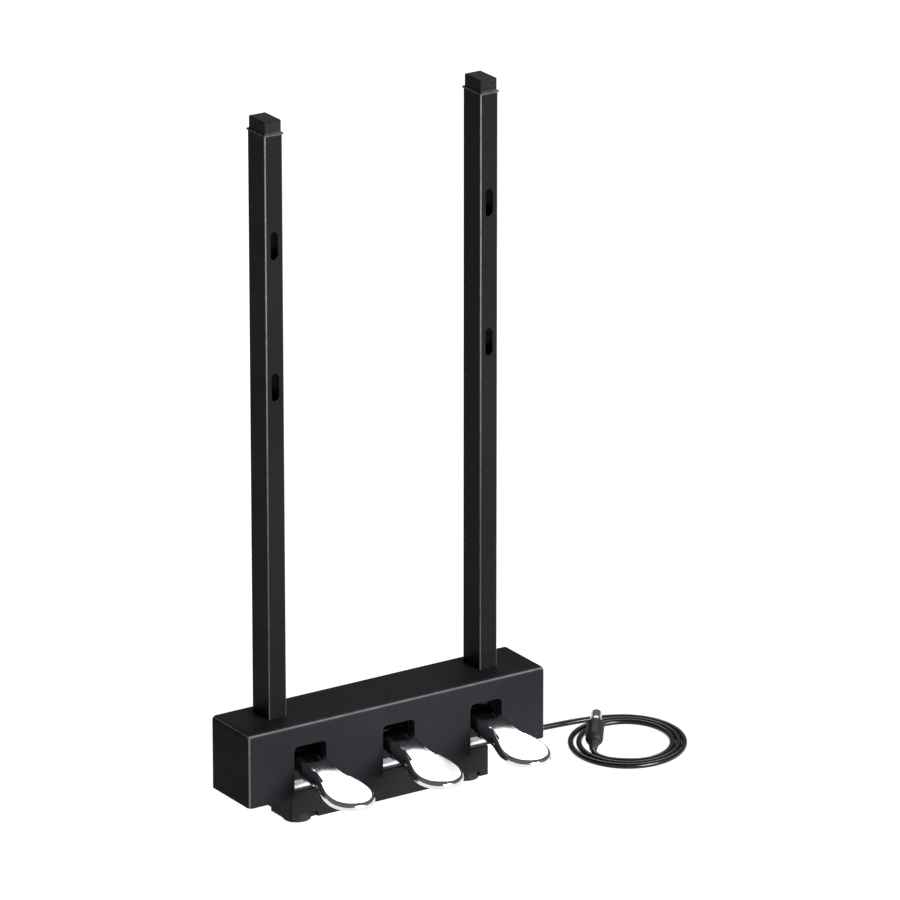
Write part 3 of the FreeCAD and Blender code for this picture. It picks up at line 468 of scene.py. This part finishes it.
def half_outline(side_steps, front_steps):
    """Right half of the pedal's plan, from its back corner to its tip: neck, swell, rounded nose."""
    spots = [(NECK_HALF, NECK_BACK - (NECK_BACK + FLARE) * k / 8) for k in range(8)]
    poles = [(NECK_HALF, -FLARE), (NECK_HALF, -FLARE - NECK_PULL), (PADDLE_HALF, -BROAD + PADDLE_PULL),
             (PADDLE_HALF, -BROAD)]
    for k in range(side_steps):
        t = k / side_steps
        weights = ((1 - t) ** 3, 3 * t * (1 - t) ** 2, 3 * t * t * (1 - t), t ** 3)
        spots.append(tuple(sum(w * p[i] for w, p in zip(weights, poles)) for i in (0, 1)))
    corner = math.radians(90 - TIP_HALF_ANGLE)
    for k in range(front_steps):
        spots.append(nose(corner * k / front_steps))
    return spots, corner


def nose(angle):
    """A point of the rounded nose, from 0 degrees at its right end."""
    return (PADDLE_HALF * math.cos(angle), -BROAD - (REACH - BROAD) * math.sin(angle))


def pedal_sides(across):
    """The plan's four sides, each a list of points: right, front, left and back."""
    right, corner = half_outline(30, 12)
    right.append(nose(corner))
    front = [nose(corner + (math.pi - 2 * corner) * k / across) for k in range(across + 1)]
    left = [(-x, y) for x, y in right][::-1]
    back = [(-NECK_HALF + 2 * NECK_HALF * k / across, NECK_BACK) for k in range(across + 1)]
    return right, front, left, back


def inset_sides(sides, distance):
    """Move every side inwards by a distance, along the plan's own normals."""
    loop = [p for side in sides for p in side[:-1]]
    count = len(loop)
    lengths = [len(side) - 1 for side in sides]
    # The two back corners are square, so they move in along both axes
    corners = {sum(lengths[:k]) for k in (0, 3)}
    moved = []
    for i, (x, y) in enumerate(loop):
        before, after = loop[i - 1], loop[(i + 1) % count]
        if i in corners:
            moved.append((x - math.copysign(distance, x), y - distance))
            continue
        way = Vector((after[0] - before[0], after[1] - before[1])).normalized()
        moved.append((x + way.y * distance, y - way.x * distance))
    out, start = [], 0
    for length in lengths:
        out.append([moved[(start + k) % count] for k in range(length + 1)])
        start += length
    return out


def top_height(x, y):
    """Height of the pedal's top, which slopes to the tip and is crowned across."""
    half = max(NECK_HALF, min(PADDLE_HALF, NECK_HALF + (-y - FLARE) * 0.3))
    return NECK_TOP + y * SLOPE + CROWN * (1 - min(1.0, (x / half) ** 2)) - CROWN


def flank(y):
    """Depth of the pedal's flanks at a place along it."""
    for (y0, d0), (y1, d1) in zip(DEPTHS, DEPTHS[1:]):
        if y >= y1:
            return d0 + (d1 - d0) * (y0 - y) / (y0 - y1)
    return DEPTHS[-1][1]


def coons(bm, sides, loop, height, flip):
    """Fill a four-sided plan whose boundary vertices exist already."""
    right, front, left, back = sides
    rows, cols = len(right), len(front)
    n_right, n_front = rows - 1, cols - 1
    grid = {}
    for i in range(rows):
        for j in range(cols):
            if j == 0:
                grid[i, j] = loop[i]
            elif i == rows - 1:
                grid[i, j] = loop[n_right + j]
            elif j == cols - 1:
                grid[i, j] = loop[(n_right + n_front + (rows - 1 - i)) % len(loop)]
            elif i == 0:
                grid[i, j] = loop[(2 * n_right + n_front + (cols - 1 - j)) % len(loop)]
            else:
                v, u = i / (rows - 1), j / (cols - 1)
                from_right, from_left = Vector(right[i]), Vector(left[rows - 1 - i])
                from_back, from_front = Vector(back[cols - 1 - j]), Vector(front[j])
                back_line = Vector(right[0]) * (1 - u) + Vector(left[-1]) * u
                front_line = Vector(right[-1]) * (1 - u) + Vector(left[0]) * u
                p = from_right * (1 - u) + from_left * u + from_back * (1 - v) + from_front * v
                p -= back_line * (1 - v) + front_line * v
                grid[i, j] = bm.verts.new((p.x * MM, FRONT + p.y * MM, height(p.x, p.y) * MM))
    for i in range(rows - 1):
        for j in range(cols - 1):
            face = (grid[i, j], grid[i + 1, j], grid[i + 1, j + 1], grid[i, j + 1])
            bm.faces.new(face[::-1] if flip else face)


def pedal_shell(bm):
    """Plated shell: crowned top, rounded rim, flanks with a rolled lip, hollow underside."""
    across = 16
    sides = pedal_sides(across)
    levels = []
    for k in range(7):
        angle = math.radians(90 * (1 - k / 6))
        levels.append((EDGE_ROUND * (1 - math.cos(angle)),
                       lambda x, y, a=angle: top_height(x, y) - EDGE_ROUND * (1 - math.sin(a))))

    def wall(part):
        """Heights at a part of the way down the flank, from the rim to the rolled lip."""
        return lambda x, y: top_height(x, y) - EDGE_ROUND - part * (flank(y) - EDGE_ROUND - LIP)

    levels += [(0.0, wall(0.5)), (0.0, wall(1.0)),
               (0.25, lambda x, y: top_height(x, y) - flank(y) + 0.18),
               (0.85, lambda x, y: top_height(x, y) - flank(y)),
               (1.45, lambda x, y: top_height(x, y) - flank(y) + 0.18),
               (SKIN, lambda x, y: top_height(x, y) - flank(y) + LIP),
               (SKIN, lambda x, y: top_height(x, y) - 3.4),
               (SKIN + 0.4, lambda x, y: top_height(x, y) - 2.6),
               (SKIN + 1.2, lambda x, y: top_height(x, y) - 2.2)]
    loops, insets = [], []
    for inset, height in levels:
        moved = inset_sides(sides, inset)
        loop = [p for side in moved for p in side[:-1]]
        loops.append([bm.verts.new((x * MM, FRONT + y * MM, height(x, y) * MM)) for x, y in loop])
        insets.append(moved)
    for upper, lower in zip(loops, loops[1:]):
        ring_faces(bm, upper, lower)
    coons(bm, insets[0], loops[0], levels[0][1], False)
    coons(bm, insets[-1], loops[-1], levels[-1][1], True)


def arm_of(node):
    """The part of a CAD pedal that lies behind the neck: its arm, keel and pivot bore."""
    bm = bmesh.new()
    bm.from_mesh(frame["nodes"][node].data)
    cut_at = Vector((0, FRONT + (NECK_BACK - 0.5) * MM, 0))
    bmesh.ops.remove_doubles(bm, verts=bm.verts, dist=1e-6)
    geom = bm.verts[:] + bm.edges[:] + bm.faces[:]
    cut = bmesh.ops.bisect_plane(bm, geom=geom, plane_co=cut_at, plane_no=(0, -1, 0), clear_outer=True)
    edges = [e for e in cut["geom_cut"] if isinstance(e, bmesh.types.BMEdge)]
    bmesh.ops.holes_fill(bm, edges=edges)
    return bm


def make_pedals():
    """One plated shell and one arm for each pedal, on the pedal's own body."""
    for side in SIDES:
        node = "pedal_" + side
        low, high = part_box(node)
        middle = (low[0] + high[0]) / 2
        bm = bmesh.new()
        pedal_shell(bm)
        bmesh.ops.translate(bm, verts=bm.verts, vec=(middle, 0, 0))
        piece = new_piece("pedal_plate_" + side, bm, f"pedal_{side}_body", "pedal_chrome")
        arm = new_piece("pedal_arm_" + side, arm_of(node), f"pedal_{side}_body", "pedal_chrome",
                        smooth=False)
        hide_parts(node)
        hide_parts(node)


# ---------------------------------------------------------------- felts

# A pad's rounded edge, flat bottom, longest mesh edge, unevenness and the fineness of its lumps
FELT_EDGE = 0.00045
FELT_FLAT = 0.0004
FELT_LONGEST = 0.002
FELT_SINK = 0.00012
FELT_LUMPS = 900
# A stop's broad front lip, the step behind it and the half width of its narrower part
STOP_LIP = 0.0032
STOP_STEP = 0.0002
STOP_WAIST = 0.0079


def soft_slab(name, node, outline):
    """A felt pad: a slab with soft edges, slightly domed and uneven."""
    low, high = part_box(node)
    bm = bmesh.new()
    base = bm.faces.new([bm.verts.new((x, y, low[2])) for x, y in outline])
    bmesh.ops.extrude_face_region(bm, geom=[base])
    for vert in bm.verts[len(outline):]:
        vert.co.z = high[2]
    bm.verts.ensure_lookup_table()
    bmesh.ops.recalc_face_normals(bm, faces=bm.faces)
    bmesh.ops.bevel(bm, geom=bm.edges[:], offset=FELT_EDGE, segments=3, affect="EDGES", profile=0.5)
    bmesh.ops.triangulate(bm, faces=bm.faces)
    long = [e for e in bm.edges if e.calc_length() > FELT_LONGEST]
    bmesh.ops.subdivide_edges(bm, edges=long, cuts=3, use_grid_fill=True)
    bmesh.ops.triangulate(bm, faces=bm.faces)
    for vert in bm.verts:
        if vert.co.z > low[2] + FELT_FLAT:
            vert.co.z -= FELT_SINK * (1 + noise.noise(vert.co * FELT_LUMPS))
    piece = new_piece(name, bm, "frame", "felt")
    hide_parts(node)


def make_felts():
    """The lower stops and the rest stops."""
    for side in SIDES:
        node = "lower_stop_felt_" + side
        low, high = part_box(node)
        middle, half = (low[0] + high[0]) / 2, (high[0] - low[0]) / 2
        lip, step = low[1] + STOP_LIP, low[1] + STOP_LIP + STOP_STEP
        outline = [(middle - half, low[1]), (middle + half, low[1]), (middle + half, lip),
                   (middle + STOP_WAIST, step), (middle + STOP_WAIST, high[1]),
                   (middle - STOP_WAIST, high[1]), (middle - STOP_WAIST, step), (middle - half, lip)]
        soft_slab("stop_pad_" + side, node, outline)
        node = "rest_stop_felt_" + side
        low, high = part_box(node)
        outline = [(low[0], low[1]), (high[0], low[1]), (high[0], high[1]), (low[0], high[1])]
        soft_slab("rest_pad_" + side, node, outline)


# ---------------------------------------------------------------- screws

SCREW_RADIUS = 0.0015
HEAD_RADIUS = 1.9 * SCREW_RADIUS
HEAD_TALL = 1.3 * SCREW_RADIUS
THREAD_PITCH = 0.0011
THREADED_NODES = ("cover_screws", "base_screws", "board_screws", "upright_screws")


def cross(x, y):
    """Depth of a cross recess at a place on a screw's head, from 0 to 1."""
    reach = math.hypot(x, y) / (0.62 * HEAD_RADIUS)
    arm = min(abs(x), abs(y)) / (0.17 * HEAD_RADIUS)
    return max(0.0, min(1.0, 1.6 - 1.6 * arm)) * max(0.0, min(1.0, 3 - 3 * reach))


def screw_mesh(bm, seat, turn, shank):
    """A pan-head screw with a cross recess, a ridged thread and a point; +Z runs down the shank."""
    steps = 48
    rows = []
    head = [(HEAD_RADIUS * k / 9, 0.0) for k in range(1, 9)]
    head += [(HEAD_RADIUS * 0.97, 0.2), (HEAD_RADIUS, 0.4), (HEAD_RADIUS, 0.92), (HEAD_RADIUS * 0.97, 1.0)]
    for radius, level in head:
        row = []
        for k in range(steps):
            angle = 2 * math.pi * k / steps
            x, y = radius * math.cos(angle), radius * math.sin(angle)
            dome = 0.22 * (radius / HEAD_RADIUS) ** 2
            sunk = 0.55 * cross(x, y)
            z = -HEAD_TALL * (1 - (level or dome) - sunk)
            row.append(bm.verts.new(seat + turn @ Vector((x, y, z))))
        rows.append(row)
    pitch, ridge = THREAD_PITCH, THREAD_PITCH * 0.3
    turns = int((shank - 0.0012) / pitch)
    thread = [(SCREW_RADIUS, 0.0)]
    for i in range(turns):
        z = 0.0004 + pitch * i
        thread += [(SCREW_RADIUS * 0.8, z), (SCREW_RADIUS * 0.98, z + ridge),
                   (SCREW_RADIUS * 0.8, z + 2 * ridge)]
    thread += [(SCREW_RADIUS * 0.75, shank - 0.0008), (SCREW_RADIUS * 0.2, shank)]
    for radius, z in thread:
        row = [bm.verts.new(seat + turn @ Vector((radius * math.cos(a), radius * math.sin(a), z)))
               for a in (2 * math.pi * k / steps for k in range(steps))]
        rows.append(row)
    for low, high in zip(rows, rows[1:]):
        ring_faces(bm, low, high)
    bm.faces.new(rows[0][::-1])
    bm.faces.new(rows[-1])


def islands(node):
    """Boxes of the separate solids in a CAD node, from vertices that faces join."""
    bm = bmesh.new()
    bm.from_mesh(frame["nodes"][node].data)
    bmesh.ops.remove_doubles(bm, verts=bm.verts, dist=1e-6)
    todo, boxes = set(bm.verts), []
    while todo:
        stack = [todo.pop()]
        low, high = stack[0].co.copy(), stack[0].co.copy()
        while stack:
            vert = stack.pop()
            low = Vector(map(min, low, vert.co))
            high = Vector(map(max, high, vert.co))
            for edge in vert.link_edges:
                other = edge.other_vert(vert)
                if other in todo:
                    todo.remove(other)
                    stack.append(other)
        boxes.append((low, high))
    bm.free()
    return sorted(boxes, key=lambda b: tuple(round(v, 4) for v in b[0]))


def make_screws():
    """Detailed screws where the CAD's plain ones are.

    The upright's screws point down or towards the middle of the unit, and all others point up.
    """
    for node in THREADED_NODES:
        bm = bmesh.new()
        for low, high in islands(node):
            size, middle = high - low, (low + high) / 2
            axis = max(range(3), key=lambda i: size[i])
            sign = 1
            if node == "upright_screws" and (axis == 2 or middle.x > 0):
                sign = -1
            way = Vector((0, 0, 0))
            way[axis] = sign
            start = middle - way * (size[axis] / 2)
            turn = way.to_track_quat("Z", "Y").to_matrix()
            screw_mesh(bm, start + way * HEAD_TALL, turn, size[axis] - HEAD_TALL)
        piece = new_piece(node + "_threaded", bm, "frame", "screw_steel")
        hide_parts(node)


# ---------------------------------------------------------------- plug and lead

COIL_CENTRE = Vector((0.237, FRONT + 0.013))
COIL_TURN = math.radians(-33.1)
COIL_U = Vector((math.cos(COIL_TURN), math.sin(COIL_TURN)))
COIL_V = Vector((-math.sin(COIL_TURN), math.cos(COIL_TURN)))
CORD_RADIUS = 0.0025
PLUG_TILT = math.radians(13)
PLUG_SWING = math.radians(4)
PLUG_TAIL = (-0.0292, -0.0238, 0.0046)
BOOT_LONG = 0.011
GRIP_LONG = 0.025
GRIP_RADIUS = 0.0076
COLLAR_LONG = 0.0075
COLLAR_RADIUS = 0.0051
SHELL_LONG = 0.0095
SHELL_RADIUS = 0.0047
SHELL_BORE = 0.0042
TURNS = 2.5
STEPS_A_TURN = 14


def in_coil(u, v, z=CORD_RADIUS):
    """A place in the coil's own frame: u along its long axis as seen, v away, z above the floor."""
    spot = COIL_CENTRE + COIL_U * u + COIL_V * v
    return (spot.x, spot.y, z)


def lead_route():
    """The lead's points: out of the relief, down and along the floor, 2.5 loose turns, up to the plug."""
    low = CORD_RADIUS
    free = [(0.028, 0.0739, 0.015), (0.028, 0.086, 0.015), (0.0305, 0.098, 0.0112),
            (0.038, 0.1075, 0.0056), (0.0505, 0.1136, low), (0.0665, 0.1142, low), (0.086, 0.1115, low),
            (0.11, 0.104, low), (0.136, 0.094, low), (0.16, 0.0845, low), (0.183, 0.0785, low),
            (0.208, 0.0766, low), (0.232, 0.0738, low)]
    points = [(x, FRONT + y, z) for x, y, z in free]
    for k in range(int(TURNS * STEPS_A_TURN) + 1):
        n = k / STEPS_A_TURN
        angle = math.radians(105 - 360 * n)
        u = -0.00213 + 0.00105 * n + (0.05283 - 0.00625 * n) * math.cos(angle)
        v = -0.00145 + (0.05835 - 0.0052 * n) * math.sin(angle)
        points.append(in_coil(u, v))
    points += [in_coil(-0.0135, -0.0435), in_coil(-0.0242, -0.0353),
               in_coil(-0.0286, -0.0293, 0.0034)]
    points.append(in_coil(*PLUG_TAIL))
    return points


def make_lead(plug_pieces):
    """The lead as one round curve through its route."""
    data = bpy.data.curves.new("lead", "CURVE")
    data.dimensions = "3D"
    spline = data.splines.new("NURBS")
    route = lead_route()
    spline.points.add(len(route) - 1)
    for point, spot in zip(spline.points, route):
        point.co = (*spot, 1)
    spline.order_u = 3
    spline.use_endpoint_u = True
    spline.resolution_u = 10
    data.bevel_depth = CORD_RADIUS
    data.bevel_resolution = 6
    data.use_fill_caps = True
    obj = bpy.data.objects.new("lead", data)
    bpy.context.collection.objects.link(obj)
    data.materials.append(FINISHES["lead_pvc"])
    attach(obj, "frame")
    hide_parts("cord_lead", "cord_coil")


def along_plug(reach):
    """A point on the plug's axis, and the turn of +Z onto it."""
    flat = (COIL_U * math.sin(PLUG_SWING) + COIL_V * math.cos(PLUG_SWING)) * math.cos(PLUG_TILT)
    way = Vector((flat.x, flat.y, math.sin(PLUG_TILT)))
    return Vector(in_coil(*PLUG_TAIL)) + way * reach, way.to_track_quat("Z", "Y").to_matrix()


def grip_flutes(angle, height):
    """Twelve shallow flutes round the middle of the grip."""
    if 0.0075 < height < 0.0195:
        return 1 - 0.035 * max(0.0, math.cos(12 * angle)) ** 2
    return 1.0


def shell_key(angle, height):
    """Narrow groove along the metal shell that keys the plug."""
    near = max(0.0, 1 - abs(angle - math.pi * 1.5) / 0.16)
    return 1 - 0.12 * min(1.0, 2 * near) if height > COLLAR_LONG + 0.001 else 1.0


def boot_profile():
    """Three ribs with gaps between them, growing towards the grip."""
    profile = [(0.0024, 0), (0.0026, 0.0002)]
    for i in range(3):
        low, grow = 0.0006 + 0.0032 * i, 0.00045 * i
        profile += [(0.003 + grow, low), (0.0033 + grow, low + 0.0002), (0.0034 + grow, low + 0.0018),
                    (0.0031 + grow, low + 0.0021), (0.0027 + grow, low + 0.0022),
                    (0.0027 + grow, low + 0.0029)]
    return profile + [(0.0042, BOOT_LONG - 0.0005), (0.0042, BOOT_LONG)]


def grip_profile():
    """Rounded shoulder, straight middle and a small radius at the front."""
    swell = [(GRIP_RADIUS - 0.003 * (1 - k / 6) ** 2, 0.0002 + 0.0054 * k / 6) for k in range(7)]
    middle = [(GRIP_RADIUS, z) for z in (0.0074, 0.0082, 0.0135, 0.0188, 0.0198, GRIP_LONG - 0.0012)]
    return [(0.0042, 0)] + swell + middle + arc_points(0.0068, GRIP_LONG - 0.0008, 0.0008, 0, 90, 4)


def ferrule_profile():
    """Grooved collar and open metal shell, out along the outside and back along the bore."""
    end = COLLAR_LONG + SHELL_LONG
    return [(0.002, 0.0002), (COLLAR_RADIUS - 0.0003, 0.0002), (COLLAR_RADIUS, 0.0006),
            (COLLAR_RADIUS, 0.0022), (COLLAR_RADIUS - 0.0002, 0.0025), (COLLAR_RADIUS - 0.0002, 0.0032),
            (COLLAR_RADIUS, 0.0035), (COLLAR_RADIUS, COLLAR_LONG - 0.0005),
            (COLLAR_RADIUS - 0.0003, COLLAR_LONG), (SHELL_RADIUS, COLLAR_LONG + 0.0001),
            (SHELL_RADIUS, end - 0.0003), (SHELL_RADIUS - 0.0002, end), (SHELL_BORE + 0.0001, end),
            (SHELL_BORE, end - 0.0003), (SHELL_BORE, COLLAR_LONG), (0.002, COLLAR_LONG)]


def make_plug():
    """Ribbed boot, fluted grip, and the collar with the keyed metal shell."""
    turned = (("plug_boot_sleeve", "plug_boot", "plug_plastic", 0, boot_profile(), 48, None, False),
              ("plug_grip", "plug_body", "plug_plastic", BOOT_LONG, grip_profile(), 96,
               grip_flutes, False),
              ("plug_ferrule", "plug_shell", "plug_nickel", BOOT_LONG + GRIP_LONG, ferrule_profile(), 96,
               shell_key, True))
    pieces = []
    for name, node, slot, reach, profile, steps, flute, closed in turned:
        spot, turn = along_plug(reach)
        bm = bmesh.new()
        lathe(bm, profile, spot, turn, steps, flute, closed)
        pieces.append(new_piece(name, bm, "frame", slot))
        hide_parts(node)
    return pieces + ["plug_insert", "plug_pins", "cord_relief"]


# ---------------------------------------------------------------- build

paint_cad_nodes()
make_camera()
make_stage()
make_lead(make_plug())
make_pedals()
make_felts()
make_screws()
